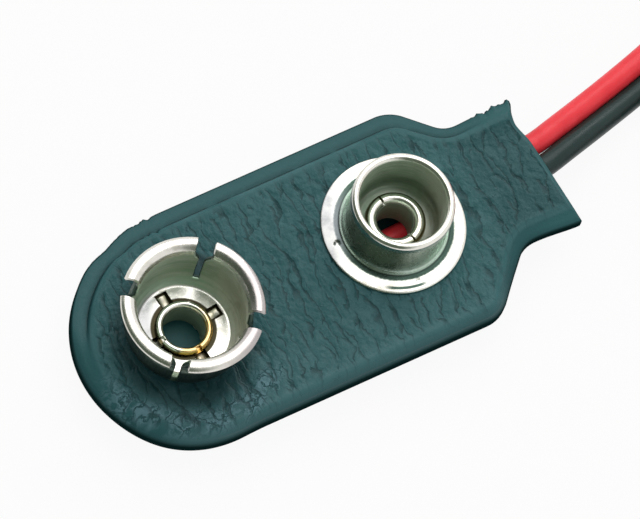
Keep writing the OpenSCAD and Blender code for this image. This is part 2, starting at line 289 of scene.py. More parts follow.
# leads, on the routes of the source
leads = {
    "diameter": 1.2,
    "drawnRadius": 0.622,  # soft sleeves that press together
    "bevelSteps": 6,
    "red": {
        "route": [(-5.344, -0.277, 1.05), (-4.744, -0.277, 1.05), (-3, -0.2, 1.05), (0, 0, 1.05),
                  (3, 0.2, 1.05), (5.5, 0.3, 1.05), (7.5, 0.5, 1.1), (9, 0.8, 1.4), (10.3, 1.1, 1.8),
                  (11.6, 1.35, 2), (12.7, 1.45, 2.05), (13.8, 1.5, 2.05), (15.5, 1.9, 1.9),
                  (18, 2.57, 1.5), (20.5, 3.27, 1.2), (22.5, 3.83, 1.25), (24.5, 4.4, 1.65),
                  (26.5, 4.63, 2), (28.4, 4.4, 2), (30.26, 4.07, 2)],
        "exit": (13.7, 1.5, 2.05),
        "length": 168,
        "level": 2.0,  # of its coil
        "enter": 80,  # angle at which it meets the coil
        "endTurn": -26,
    },
    "black": {
        "route": [(6.594, -1.022, 1.05), (7.194, -1.022, 1.05), (9, -0.8, 1.4), (10.3, -0.4, 1.8),
                  (11.6, 0, 2), (12.7, 0.1, 2.05), (13.8, 0.2, 2.05), (15.5, 0.62, 1.9), (18, 1.33, 1.35),
                  (20.5, 2.05, 0.9), (22.5, 2.65, 0.8), (24.5, 3.28, 0.8), (26.49, 3.88, 0.8)],
        "exit": (13.7, 0.2, 2.05),
        "length": 153,
        "level": 0.8,
        "enter": 106,
        "endTurn": 0,
    },
    "endRoute": [(-1.32, 4.61), (0.3, 4.7), (1.7, 4.1), (2.7, 2.9), (2.95, 1.5), (2.35, 0.3)],
    "coilAt": (28.8, -4.2),
    "coilOuter": 8.4,
    "coilInner": 4.8,
    "turns": 3,
    "stepsPerTurn": 16,
    "curveSteps": 5,  # between two points of a route
}


def smoothRoute(points, steps):  # an even curve through every point
    points = [Vector(p) for p in points]
    line = []
    for i in range(len(points) - 1):
        p0, p1, p2 = points[max(i - 1, 0)], points[i], points[i + 1]
        p3 = points[min(i + 2, len(points) - 1)]
        d1, d2, d3 = (max((b - a).length, 0.001) ** 0.5 for a, b in ((p0, p1), (p1, p2), (p2, p3)))
        start = p2 - p1 if i == 0 else (p1 - p0) / d1 - (p2 - p0) / (d1 + d2) + (p2 - p1) / d2
        end = p2 - p1 if p3 == p2 else (p2 - p1) / d2 - (p3 - p1) / (d2 + d3) + (p3 - p2) / d3
        start, end = (start if i == 0 else start * d2), (end if p3 == p2 else end * d2)
        for k in range(steps):
            t = k / steps
            line.append(p1 * (2 * t ** 3 - 3 * t ** 2 + 1) + start * (t ** 3 - 2 * t ** 2 + t)
                        + p2 * (3 * t ** 2 - 2 * t ** 3) + end * (t ** 3 - t ** 2))
    return line + [points[-1]]


def leadLine(lead):
    centre = Vector((*leads["coilAt"], lead["level"]))
    count = leads["turns"] * leads["stepsPerTurn"]
    coil = []
    for i in range(count):
        t = (i + 1 / 3) / count  # a third of a step past the route's end
        reach = leads["coilOuter"] + (leads["coilInner"] - leads["coilOuter"]) * t
        coil.append(centre + polar(reach, lead["enter"] - 360 * leads["turns"] * t).to_3d())
    turn = Matrix.Rotation(math.radians(lead["endTurn"]), 3, "Z")
    end = [centre + turn @ Vector((*p, 0)) for p in leads["endRoute"]]
    return smoothRoute([*lead["route"], *coil, *end], leads["curveSteps"])


def lengthOf(line):
    return sum((b - a).length for a, b in zip(line, line[1:]))


def layLead(name, line, material, slot, *cadNodes):
    curve = bpy.data.curves.new(name, "CURVE")
    curve.dimensions = "3D"
    curve.bevel_depth = leads["drawnRadius"] * mm
    curve.bevel_resolution = leads["bevelSteps"]
    curve.use_fill_caps = True
    curve.twist_mode = "MINIMUM"
    run = curve.splines.new("POLY")
    run.points.add(len(line) - 1)
    for point, place in zip(run.points, line):
        point.co = (*(place * mm), 1)
    curve.materials.append(material)
    lead = bpy.data.objects.new(name, curve)
    scene.collection.objects.link(lead)
    handOver(lead, slot, *cadNodes)
    print(name, "is", round(lengthOf(line), 1), "mm long")
    return lead


insulation = {
    "red": (0.95, 0.055, 0.07),
    "redDeep": (0.86, 0.034, 0.048),
    "black": (0.009, 0.030, 0.027),
    "blackPale": (0.016, 0.042, 0.038),
    "rough": 0.21,
    "drawn": (0.5, 3.2, 3.2),  # faint lines left by drawing the sleeve
}


def insulationFinish(name, base, other):
    material, flow = newMaterial(name)
    place = inMillimetres(flow)
    mottle = place.clouds(1.1, 3)
    drag = place.stretch(insulation["drawn"]).clouds(1.4, 3)
    paint(flow, {
        "Base Color": flow.blend(base, other, mottle.ease(0.35, 0.7) * 0.6),
        "Roughness": mottle * 0.16 + drag * 0.1 + insulation["rough"],
        "Normal": relief(flow, drag + place.clouds(5, 2) * 0.4, 0.012),
        "Specular IOR Level": 0.3,
    })
    return material


redFinish = insulationFinish("red insulation", insulation["red"], insulation["redDeep"])
blackFinish = insulationFinish("black insulation", insulation["black"], insulation["blackPale"])
redLine = leadLine(leads["red"])
blackLine = leadLine(leads["black"])
redLead = layLead("redLead", redLine, redFinish, "red_insulation", "red_lead", "red_coil")
blackLead = layLead("blackLead", blackLine, blackFinish, "black_insulation", "black_lead", "black_coil")
print("leads laid")

# floor, light, white surroundings and the dark card that the metal mirrors
studio = {
    "floor": 0.8,
    "floorReach": 3000,
    "whiteShare": 0.93,
    "ambient": 0.5,
    "key": {"place": (110, 170, 400), "size": 400, "power": 0.88},
    "side": {"place": (330, 240, 210), "size": 110, "power": 0.22},
    "card": {"towards": (-0.9, -0.16, 0.53), "spread": 76, "softFrom": 0.68, "away": 560,
             "shade": (0.10, 0.13, 0.095), "rings": 16, "sides": 48},
}


def seenDirectly(flow):
    rays = flow.make("ShaderNodeLightPath").socket.node.outputs
    camera, glossy, through = (Flow(flow.tree, rays[f"Is {name} Ray"])
                               for name in ("Camera", "Glossy", "Transmission"))
    return camera.atLeast(glossy).atLeast(through)


def stageMesh(name, points, faces, material):
    mesh = bpy.data.meshes.new(name)
    mesh.from_pydata(points, [], faces)
    mesh.materials.append(material)
    thing = bpy.data.objects.new(name, mesh)
    scene.collection.objects.link(thing)
    return thing


def layFloor():
    material, flow = newMaterial("floor")
    matt = flow.make("ShaderNodeBsdfDiffuse", None, {"Color": (studio["floor"],) * 3 + (1,)})
    white = flow.make("ShaderNodeEmission", None, {"Color": (1, 1, 1, 1), "Strength": 1.0})
    both = flow.make("ShaderNodeMixShader", None,
                     {0: seenDirectly(flow) * studio["whiteShare"], 1: matt, 2: white})
    flow.make("ShaderNodeOutputMaterial", None, {"Surface": both})
    r = studio["floorReach"] * mm
    stageMesh("floor", [(-r, -r, 0), (r, -r, 0), (r, r, 0), (-r, r, 0)], [(0, 1, 2, 3)], material)


def hangCard():  # only mirrored: it hides nothing and takes no light
    card = studio["card"]
    material, flow = newMaterial("dark card")
    tint = flow.blend(card["shade"], (1, 1, 1), marked(flow, "fade").ease(card["softFrom"], 1.0))
    glow = flow.make("ShaderNodeEmission", None, {"Color": tint, "Strength": 1.0})
    flow.make("ShaderNodeOutputMaterial", None, {"Surface": glow})
    turn = Vector(card["towards"]).to_track_quat("Z", "Y")
    rings, sides = card["rings"], card["sides"]
    points, faces, fades = [turn @ Vector((0, 0, card["away"] * mm))], [], [0.0]
    for k in range(1, rings + 1):
        tilt = math.radians(card["spread"] * k / rings)
        for i in range(sides):
            a = math.tau * i / sides
            spot = Vector((math.sin(tilt) * math.cos(a), math.sin(tilt) * math.sin(a), math.cos(tilt)))
            points.append(turn @ spot * card["away"] * mm)
            fades.append(k / rings)
    for i in range(sides):
        j = (i + 1) % sides
        faces.append((0, 1 + i, 1 + j))
        for k in range(rings - 1):
            low, high = 1 + k * sides, 1 + (k + 1) * sides
            faces.append((low + i, high + i, high + j, low + j))
    held = stageMesh("darkCard", points, faces, material)
    held.data.attributes.new("fade", "FLOAT", "POINT").data.foreach_set("value", fades)
    held.visible_camera = False
    held.visible_diffuse = False
    held.visible_transmission = False
    held.visible_shadow = False


def lightRoom():
    room = bpy.data.worlds.new("room")
    room.use_nodes = True
    room.node_tree.nodes.clear()
    flow = Flow(room.node_tree)
    dim = studio["ambient"]
    glow = flow.make("ShaderNodeBackground", None,
                     {"Color": (1, 1, 1, 1), "Strength": seenDirectly(flow) * (1 - dim) + dim})
    flow.make("ShaderNodeOutputWorld", None, {"Surface": glow})
    scene.world = room
    for name in ("key", "side"):
        box = studio[name]
        lamp = bpy.data.lights.new(name, "AREA")
        lamp.shape = "SQUARE"
        lamp.size = box["size"] * mm
        lamp.energy = box["power"]
        holder = bpy.data.objects.new(name, lamp)
        place = Vector(box["place"]) * mm
        holder.location = place
        holder.rotation_euler = (-place).to_track_quat("-Z", "Y").to_euler()
        scene.collection.objects.link(holder)


layFloor()
hangCard()
lightRoom()
print("studio lit")

contacts = {
    "socketAt": (-8.04396, -0.27698),
    "studAt": (4.64396, 0.27698),
    "metal": 0.28,
    "socketHole": 1.34,
    "studHole": 1.19,
    "seat": 3.0,
}

# vinyl covers
cover = {
    "length": 27.4,
    "width": 12.4,
    "shoulder": 7.7,
    "shoulderRound": 2.0,
    "rootRound": 1.5,
    "tailWidth": 7.3,
    "tailShift": 0.35,
    "tailRound": 0.1,
    "fieldShift": -0.3,
    "rim": 0.55,
    "rimTop": 2.5,
    "weld": 2.05,
    "rimUnder": 1.6,
    "roof": 2.55,
    "fieldTop": 3.0,
    "recess": 1.05,
    "seal": 2.4,
    "pan": 0.85,
    "sheet": 0.45,
    "tailLift": 0.95,
    "liftFrom": 8.0,
    "liftTo": 11.0,
    "pressed": [(2.0, 0.5, 1.24), (1.14, 0.1, 0.04)],  # radius, slope's width and height, under the socket
    "steps": {"tailCorner": 4, "tail": 34, "root": 10, "shoulder": 10, "corner": 10,
              "side": 140, "end": 176},
    "across": 104,
    "leastRound": 0.1,
    "nearSide": (-3.2, 2.5),  # spans, each with its start and length
    "nearEnd": (5.5, 5),
    "onTail": (8.8, 3.6),
    "shiftEnd": (5, 7),
    "shiftTail": (7.2, 3.2),
    "edgeGrain": (0.4, 6),  # depth of the grain at the field's edge, and steps to its full depth
}


def outlineRing(inset, endIn, shift, density):
    c = cover
    count = {k: max(2, 2 * round(v * density / 2)) for k, v in c["steps"].items()}
    half = c["width"] / 2 - inset
    tip = c["length"] / 2 - endIn
    far = c["tailShift"] + c["tailWidth"] / 2 - inset
    near = c["tailShift"] - c["tailWidth"] / 2 + inset
    miter = math.tan(math.radians(22.5))
    corner = c["shoulder"] - miter * inset
    farRoot = corner + half - far
    nearRoot = corner + half + near
    tailRound = max(c["tailRound"] - inset, c["leastRound"])
    sideRound = max(c["shoulderRound"] - inset, c["leastRound"])
    rootRound = c["rootRound"] + inset
    runs = [  # each bend, and the steps of the straight after it
        (arc((tip - tailRound, far - tailRound), tailRound, 0, 90, count["tailCorner"]), count["tail"]),
        (arc((farRoot + miter * rootRound, far + rootRound), rootRound, -90, -135, count["root"]),
         count["shoulder"]),
        (arc((corner - miter * sideRound, half - sideRound), sideRound, 45, 90, count["corner"]),
         count["side"]),
        (arc((inset - c["length"] / 2 + half, 0), half, 90, 270, count["end"]), count["side"]),
        (arc((corner - miter * sideRound, sideRound - half), sideRound, 270, 315, count["corner"]),
         count["shoulder"]),
        (arc((nearRoot + miter * rootRound, near - rootRound), rootRound, 135, 90, count["root"]),
         count["tail"]),
        (arc((tip - tailRound, near + tailRound), tailRound, 270, 360, count["tailCorner"]),
         round(c["across"] * density)),
    ]
    ring = []
    for i, (bend, straight) in enumerate(runs):
        start, end = bend[-1], runs[(i + 1) % len(runs)][0][0]
        ring += bend + [start.lerp(end, k / straight) for k in range(1, straight)]
    return [p + shift * Vector((-0.5 * ramp(-p.x, c["shiftEnd"]), 1 - ramp(p.x, c["shiftTail"])))
            for p in ring]


def sided(far, near, tail=None, end=None):  # values by side, for the tail and for the near side's round end
    def value(p):
        there = near if end is None else near + (end - near) * ramp(-p[0], cover["nearEnd"])
        here = far + (there - far) * ramp(-p[1], cover["nearSide"])
        return here if tail is None else here + (tail - here) * ramp(p[0], cover["onTail"])
    return value


def coverSkin(levels, density, underFill):  # from the inner face, round the edge, to the outer face
    rings = [[(p.x, p.y, z(p) if callable(z) else z) for p in outlineRing(inset, endIn, sideways, density)]
             for inset, z, endIn, sideways, tones in levels]
    total = len(rings[0])
    across = round(cover["across"] * density)
    main = total - across + 1
    points = [p for ring in rings for p in ring]
    marks = {}
    for label in ("field", "ridge", "groove", "cut"):
        tones = [sided(*level[-1].get(label, (0, 0))) for level in levels]
        marks[label] = [tone(p) for tone, ring in zip(tones, rings) for p in ring]
    faces = []
    for k in range(len(rings) - 1):
        for i in range(total):
            j = (i + 1) % total
            faces.append((k * total + i, (k + 1) * total + i, (k + 1) * total + j, k * total + j))

    def fill(first, weighted):
        edgeGrain, edgeSteps = cover["edgeGrain"]
        rows = []
        for i in range(main // 2):
            a, b = first + i, first + main - 1 - i
            row = [a]
            for j in range(1, across):
                if i == 0:
                    row.append(first + total - j)
                    continue
                t = j / across
                points.append(tuple(Vector(points[a]).lerp(Vector(points[b]), t)))
                grained = ease(edgeGrain + min(t, 1 - t) * across / edgeSteps) * weighted
                for label, values in marks.items():
                    values.append(grained if label == "field" else 0.0)
                row.append(len(points) - 1)
            rows.append(row + [b])
        for low, high in zip(rows, rows[1:]):
            for j in range(across):
                faces.append((low[j], high[j], high[j + 1], low[j + 1]))
        last = rows[-1]
        faces.extend((last[j], first + main // 2, last[j + 1]) for j in range(across))

    fill((len(rings) - 1) * total, 1.0)
    if underFill:
        firstNew = len(points)
        fill(0, 0.0)
        points[firstNew:] = [(x, y, insideLevel((x, y))) for x, y, z in points[firstNew:]]
    else:
        faces.append(tuple(range(total)))
    return points, marks, faces


def insideLevel(p):  # the back's inner face, pressed up into the socket's rivet
    away = (Vector((p[0], p[1])) - Vector(contacts["socketAt"])).length
    level = backLevel(Vector(p)) + cover["sheet"]
    for radius, slope, height in cover["pressed"]:
        level += height * ease((radius - away) / slope)
    return level


def backLevel(p):  # the back steps up to the tail
    t = min(max((p.x - cover["liftFrom"]) / (cover["liftTo"] - cover["liftFrom"]), 0), 1)
    return cover["tailLift"] * (1 - math.cos(math.pi * t)) / 2


bends = {
    "tailEnd": (10.6, 3.1),
    "nearOut": 0.1,
    "nearOutAcross": (2, 3),
    "nearOutUntil": (7, 2.5),
    "flare": 0.19,  # of the tail's near corner
    "flareAlong": (11.2, 2.5),
    "flareAcross": (2.2, 1.0),
    "curl": 0.4,  # rise of the tail's far corner
    "curlAlong": (9.2, 4.6),
    "curlAcross": (1.9, 2.3),
    "askew": 0.26,
    "askewAbout": (1.2, 4.5),
    "hollow": 0.24,
    "hollowAt": (2.75, 0.8),
    "corner": 0.1,
    "cornerAcross": (3.3, 0.5),
    "endLean": 0.34,  # of the round end, towards the near side
    "leanAlong": (6, 6.5),
}


def bendEnds(point):  # the tail curls up, is cut hollow and askew, and the round end leans
    x, y, z = point
    b = bends
    near = b["nearOut"] * ramp(-y, b["nearOutAcross"]) * (1 - ramp(x, b["nearOutUntil"]))
    near += b["flare"] * ramp(x, b["flareAlong"]) * ramp(-y, b["flareAcross"])
    near += b["endLean"] * ramp(-x, b["leanAlong"])
    z += b["curl"] * ramp(x, b["curlAlong"]) * ramp(y, b["curlAcross"])
    pivot, reach = b["askewAbout"]
    middle, wide = b["hollowAt"]
    cut = b["askew"] * (pivot - y) / reach - b["hollow"] * math.exp(-((y - middle) / wide) ** 2)
    cut += b["corner"] * ramp(y, b["cornerAcross"])
    return x + ramp(x, b["tailEnd"]) * cut, y - near, z


trimming = {
    "tailAlong": (11.0, 1.2),
    "tailAcross": (3.4, 0.4),
    "farEdge": (4.6, 0.6),
    "tailRough": 0.17,
    "nick": {"at": -6.9, "wide": 1.0, "rough": 0.16, "deep": 0.06},
    "shaved": {"at": -9.2, "wide": 1.9, "rough": 0.05, "deep": 0.19},
}


def ragged(point):  # small nicks left by the trimming, on the far edge
    x, y, z = point
    wobble = noise.noise((x * 3.3, y * 0.4, 3.7)) + 0.8 * noise.noise((x * 8.3, 1.9, 0.2))
    rough = trimming["tailRough"] * ramp(x, trimming["tailAlong"]) * ramp(y, trimming["tailAcross"])
    deep = 0.0
    for spot in (trimming["nick"], trimming["shaved"]):
        share = ramp(y, trimming["farEdge"]) * ease(1 - abs(x - spot["at"]) / spot["wide"])
        rough += share * spot["rough"]
        deep += share * spot["deep"]
    return x, y + rough * wobble - deep, z


grain = {
    "cellAlong": 0.64,  # spacing of the wrinkles along the cover, and their length across it
    "cellAcross": 1.75,
    "depth": 0.035,
    "tilt": 0.125,
    "drift": 0.5,
    "sway": 0.05,
    "lumps": 0.06,
    "wiggles": ((0.35, 2.4), (1.7, 0.8), (4.5, 0.25)),  # scale and share of a slow drift and small wiggles
    "seed": 4.0,
}


def wrinkles(flow, place, along, across, drift):  # shared by the mesh and the finish
    lattice = flow.make("ShaderNodeCombineXYZ", None, {"X": 1 / along, "Y": 1 / across})
    moved = place
    for scale, share in grain["wiggles"]:
        swirl = place.clouds(scale, 1, 0.5, "Color").shift((-0.5, -0.5, -0.5))
        moved = moved.shift(flow.make("ShaderNodeVectorMath", {"operation": "SCALE"},
                                      {0: swirl, "Scale": drift * share}))
    warped = flow.make("ShaderNodeVectorMath", {"operation": "MULTIPLY"}, {0: moved, 1: lattice})
    edge = warped.cracks(1.0)
    slant = warped.part("X") - warped.cells(1.0, "Position").part("X")
    return edge, slant, place.clouds(0.9, 1).ease(0.28, 0.44)


def grainTree(material):
    tree, flow, given = newTree("vinyl grain", {
        "Cell Along": "NodeSocketFloat", "Cell Across": "NodeSocketFloat", "Depth": "NodeSocketFloat",
        "Drift": "NodeSocketFloat", "Sway": "NodeSocketFloat", "Seed": "NodeSocketFloat"})
    spot = flow.make("GeometryNodeInputPosition").stretch((1 / mm, 1 / mm, 0))
    spot = spot.shift(flow.make("ShaderNodeCombineXYZ", None, {"X": given["Seed"]}))
    edge, slant, shown = wrinkles(flow, spot, given["Cell Along"], given["Cell Across"], given["Drift"])
    crease = (1 - edge.ease(0.0, 0.22)) * slant.ease(0.06, 0.2) * shown
    field = flow.make("GeometryNodeInputNamedAttribute", {"data_type": "FLOAT"},
                      {"Name": "field"}, "Attribute")
    height = ((spot.clouds(0.45, 2) - 0.5) * given["Sway"] * 2 - crease * given["Depth"]) * field
    lift = flow.make("ShaderNodeCombineXYZ", None, {"Z": height * mm})
    shape = flow.make("GeometryNodeSetPosition", None, {"Geometry": given["Geometry"], "Offset": lift})
    endTree(flow, shape, material)
    return tree


vinylLook = {
    "base": (0.0235, 0.109, 0.115),
    "pale": (0.058, 0.162, 0.172),
    "flakeSheen": (0.115, 0.245, 0.28),
    # the dark of the painted shade in creases and cracks, round the socket and in the groove
    "crease": (0.003, 0.026, 0.030),
    # the dark of the painted shade on the edge walls
    "cut": (0.004, 0.018, 0.018),
    "gloss": 0.46,
    "creaseShare": 0.64,
    "crumpleShare": 0.85,
    "crumpleWay": (-0.31, -0.95, 0),  # from the socket towards the crumpled patch
    "crumpleRing": (4.0, 4.7, 5.3, 5.9),
    "shadeRing": (3.2, 4.2),
    "shadeShare": 0.62,
    "slotShadow": (-5.6, 2.55),  # the cover behind the socket's far slot
    "slotShare": 0.8,
    "tailShare": 0.3,
}


def crumples(flow, flat, low, reach):  # pale flakes near the round end, their paleness a painted highlight, and the cracks between them
    bent = flat.shift(flat.clouds(1.3, 3, 0.6, "Color").stretch((1.6, 1.6, 0)))
    split = bent.cracks(1.15)
    worked = low.ease(0.3, 0.7) * reach.within(*vinylLook["crumpleRing"])
    worked = worked * flat.clouds(0.8, 2).ease(0.34, 0.48)
    flakes = split.within(0.03, 0.1, 0.12, 0.26).atLeast(flat.clouds(2.3, 3).ease(0.48, 0.6) * 0.65)
    return flakes * worked, (1 - split.ease(0.0, 0.06)) * worked


def vinylFinish():
    material, flow = newMaterial("grained vinyl")
    look = vinylLook
    place = inMillimetres(flow)
    flat = place.stretch((1, 1, 0)).shift((grain["seed"], 0, 0))
    field, ridge, groove, cut = (marked(flow, label) for label in ("field", "ridge", "groove", "cut"))
    edge, slant, shown = wrinkles(flow, flat, grain["cellAlong"], grain["cellAcross"], grain["drift"])
    along, near = flat.part("X") - grain["seed"], 0 - flat.part("Y")
    shown = shown * field * (along.ease(-12.8, -9.8) * 0.25 + 0.75)
    crease = (1 - edge.ease(0.02, 0.3)) * slant.ease(0.1, 0.28) * shown  # painted shade, on one long side of a cell
    lit = (1 - edge.ease(0.02, 0.26)) * (0 - slant).ease(0.08, 0.24) * shown  # the other one
    patch = place.clouds(0.4, 3)
    specks = place.clouds(7, 2)
    dots = (1 - place.cells(1.7, "Distance").ease(0.05, 0.12)) * flat.clouds(0.9, 1).ease(0.5, 0.62) * field
    out, reach = fromAxis(flow, place, contacts["socketAt"])
    low = leaning(flow, out, look["crumpleWay"]) / reach
    crumple, crack = crumples(flow, flat, low, reach)
    # the cracks between the flakes take painted shade
    crease = crease.atLeast(crack * 0.8)

    # painted highlight along the ridge at the field's edge
    wearAndSheen = ridge * place.clouds(0.22, 1).ease(0.5, 0.62)
    nearField = near.ease(1.5, 4.5) * (1.05 - along.ease(-9.0, -2.0) * 0.55) * patch.ease(0.1, 0.7) * field
    # pale: random paler patches, specks, the painted highlights of the ridge and of the creases' lit side,
    # and paler towards the near edge
    pale = (patch.ease(0.4, 0.75) * 0.3 * field).atLeast(dots * 0.8).atLeast(wearAndSheen * 0.7).atLeast(lit * 0.45)
    pale = pale.atLeast(near.ease(4.5, 5.6) * 0.7).atLeast(nearField)
    colour = flow.blend(look["base"], look["pale"], pale)
    colour = flow.blend(colour, look["flakeSheen"], crumple * look["crumpleShare"])
    behind = fromAxis(flow, place, look["slotShadow"])[1]
    # painted shade round the socket's foot and behind its far slot, and darker towards the tail
    socketShade = (1 - (reach - low.atLeast(0) * 0.5).ease(*look["shadeRing"])) * look["shadeShare"]
    dim = socketShade.atLeast((1 - behind.ease(0.45, 1.0)) * look["slotShare"])
    dim = dim.atLeast(along.ease(8.0, 11.5) * look["tailShare"]) * field
    colour = flow.blend(colour, look["crease"], dim)
    # painted shade in the groove between the rim and the field
    creviceShade = groove * place.clouds(1.1, 2).ease(0.3, 0.5) * 0.85
    # painted shade in the creases and the groove
    colour = flow.blend(colour, look["crease"], (crease * look["creaseShare"]).atLeast(creviceShade))

    lumps = (flat.clouds(2.4, 2) - 0.5) * grain["lumps"] + (flat.clouds(5.5, 2) - 0.5) * 0.016
    height = ((slant * grain["tilt"] + lumps) * field - crease * grain["depth"] + dots * 0.03 + crumple * 0.03
              + (specks - 0.5) * 0.012 + place.clouds(18, 2) * 0.004)
    skin = flow.make("ShaderNodeBsdfPrincipled", None, {
        "Base Color": colour,
        "Roughness": look["gloss"] + (specks - 0.5) * 0.3 - dots * 0.2,
        "Normal": relief(flow, height, 1.0),
        "Specular IOR Level": 0.25,
    })
    edgeShade = flow.make("ShaderNodeBsdfDiffuse", None, {"Color": (*look["cut"], 1)})  # painted shade on the trimmed edge's walls and down the near slope
    both = flow.make("ShaderNodeMixShader", None, {0: cut, 1: skin, 2: edgeShade})
    flow.make("ShaderNodeOutputMaterial", None, {"Surface": both})
    return material


vinyl = vinylFinish()
grainNodes = grainTree(vinyl)


def makeCover(name, levels, density, underFill, cadNode, holes, grainValues):
    points, marks, faces = coverSkin(levels, density, underFill)
    points = [ragged(bendEnds(p)) for p in points]
    piece = newPiece(name, points, faces, vinyl, 50, marks)
    for at, radius in holes:
        cutAway(piece, newPiece("hole", *tube(at, radius, 0, 2 * cover["fieldTop"]), vinyl))
    runTree(piece, grainNodes, grainValues)
    for face in piece.data.polygons:
        face.use_smooth = True
    handOver(piece, "vinyl", cadNode)
    return piece


def tube(at, radius, low, high, sides=64):
    ring = [Vector(at) + polar(radius, 360 * i / sides) for i in range(sides)]
    points = [(p.x, p.y, low) for p in ring] + [(p.x, p.y, high) for p in ring]
    faces = [(i, (i + 1) % sides, (i + 1) % sides + sides, i + sides) for i in range(sides)]
    return points, faces + [tuple(range(sides - 1, -1, -1)), tuple(range(sides, 2 * sides))]


grainValues = {"Cell Along": grain["cellAlong"], "Cell Across": grain["cellAcross"], "Depth": grain["depth"],
               "Drift": grain["drift"], "Sway": grain["sway"], "Seed": grain["seed"]}
shift = cover["fieldShift"]
rim, rimTop, top = cover["rim"], cover["rimTop"], cover["fieldTop"]
# 'cut' marks paint shade on the edge walls and down the near slope; 'groove' marks paint shade into the
# groove; 'ridge' marks paint a highlight
topLevels = [  # inset, level, inset of the tail's end, shift to the side, marks by side
    (cover["recess"], cover["roof"], cover["seal"], shift, {}),
    (cover["recess"], cover["weld"], cover["seal"], shift, {"cut": (1, 1)}),
    (0, cover["weld"], 0, 0, {"cut": (1, 1)}),
    (0, sided(rimTop - 0.12, 2.14, 2.44), 0, 0, {"cut": (1, 1)}),
    (0.035, sided(rimTop - 0.035, 2.23, 2.53), 0.035, 0, {"cut": (0.9, 0.95, 0.8, 0.8)}),
    (0.12, sided(rimTop, 2.37, 2.62), 0.12, 0, {"cut": (0.15, 0.5, 0.1, 0.3)}),
    (0.34, sided(rimTop, 2.52, 2.70), 0.125, shift * 0.55, {"cut": (0, 0.28, 0, 0.08)}),
    (rim - 0.07, sided(rimTop - 0.03, 2.62, 2.76), 0.13, shift,
     {"groove": (0.4, 0, 0), "cut": (0, 0.22, 0, 0.04)}),
    (rim, sided(rimTop - 0.04, 2.68, 2.80), 0.14, shift, {"groove": (1, 0, 0), "cut": (0, 0.18, 0, 0)}),
    (rim + 0.06, sided(rimTop + 0.1, 2.75, 2.84), 0.2, shift,
     {"groove": (0.8, 0, 0), "cut": (0, 0.13, 0, 0), "field": (0, 0.1)}),
    (rim + 0.12, sided(top - 0.18, 2.81, 2.87), 0.27, shift,
     {"ridge": (0.5, 0.5), "cut": (0, 0.08, 0, 0), "field": (0.1, 0.2)}),
    (rim + 0.2, sided(top - 0.06, 2.88, 2.91), 0.33, shift,
     {"ridge": (1, 1), "cut": (0, 0.05, 0, 0), "field": (0.2, 0.3)}),
    (rim + 0.3, sided(top - 0.015, 2.935, 2.95), 0.37, shift, {"ridge": (0.6, 0.6), "field": (0.3, 0.35)}),
    (rim + 0.42, sided(top, 2.97), 0.42, shift, {"field": (0.35, 0.4)}),
]
holes = [(contacts[label + "At"], contacts[label + "Hole"]) for label in ("socket", "stud")]
topCover = makeCover("topCover", topLevels, 1.0, False, "top_cover", holes, grainValues)
print("top cover grained:", len(topCover.data.polygons), "faces")
under, weld = cover["rimUnder"], cover["weld"]
# 'cut' marks paint shade on the back's edge walls
backLevels = [
    (cover["recess"] + 0.85, insideLevel, cover["seal"], shift, {}),
    (cover["recess"], weld, cover["seal"], shift, {"cut": (1, 1)}),
    (0, weld, 0, 0, {"cut": (1, 1)}),
    (0, sided(under + 0.12, under + 0.12, weld - 0.06), 0, 0, {"cut": (1, 1)}),
    (0.035, sided(under + 0.035, under + 0.035, weld - 0.07), 0.02, 0, {"cut": (0.9, 0.9)}),
    (0.12, sided(under, under, weld - 0.1), 0.04, 0, {"cut": (0.1, 0.1)}),
    (cover["pan"] - 0.1, sided(under, under, under + 0.2), 0.05, shift, {}),
    (cover["pan"] + 0.05, lambda p: min(under - 0.12, 1.35 + backLevel(p) * 0.2), 0.07, shift, {}),
    (cover["pan"] + 0.5, lambda p: backLevel(p) + 0.175, 0.12, shift, {}),
    (cover["pan"] + 0.66, lambda p: backLevel(p) + 0.05, 0.4, shift, {}),
    (cover["pan"] + 0.85, backLevel, 0.85, shift, {}),
]
backGrain = {**grainValues, "Depth": -0.02, "Sway": 0.0}
backCover = makeCover("backCover", backLevels, 0.6, True, "back_cover", [], backGrain)
print("back cover grained:", len(backCover.data.polygons), "faces")

# plated metal
metalLook = {
    "nickel": (0.80, 0.785, 0.72),
    "nickelWorn": (0.70, 0.68, 0.60),
    "brass": (0.83, 0.56, 0.25),
    "tab": (0.86, 0.80, 0.62),
    "tin": (0.70, 0.70, 0.69),
    "copper": (0.74, 0.40, 0.22),
    "dull": (0.26, 0.33, 0.25),
    "tarnishAndShade": (0.50, 0.64, 0.50),
    "flankShade": (0.07, 0.06, 0.028),
    "gilt": (0.42, 0.24, 0.05),
    "shade": (0.45, 0.56, 0.48),
    # outer: the dark for painted reflections on the socket's outer wall and the flange's foot
    "outer": (0.045, 0.075, 0.06),
    "recessShade": (0.035, 0.031, 0.017),
    "lip": (0.47, 0.435, 0.43),
    "bluish": (0.20, 0.205, 0.225),
    "rightWay": (0.906, -0.423, 0),  # to the right in the photograph
    "streakWay": (-0.296, -0.955, 0),
    "giltWay": (0.55, -0.83, 0),
    "ripple": 0.01,
}


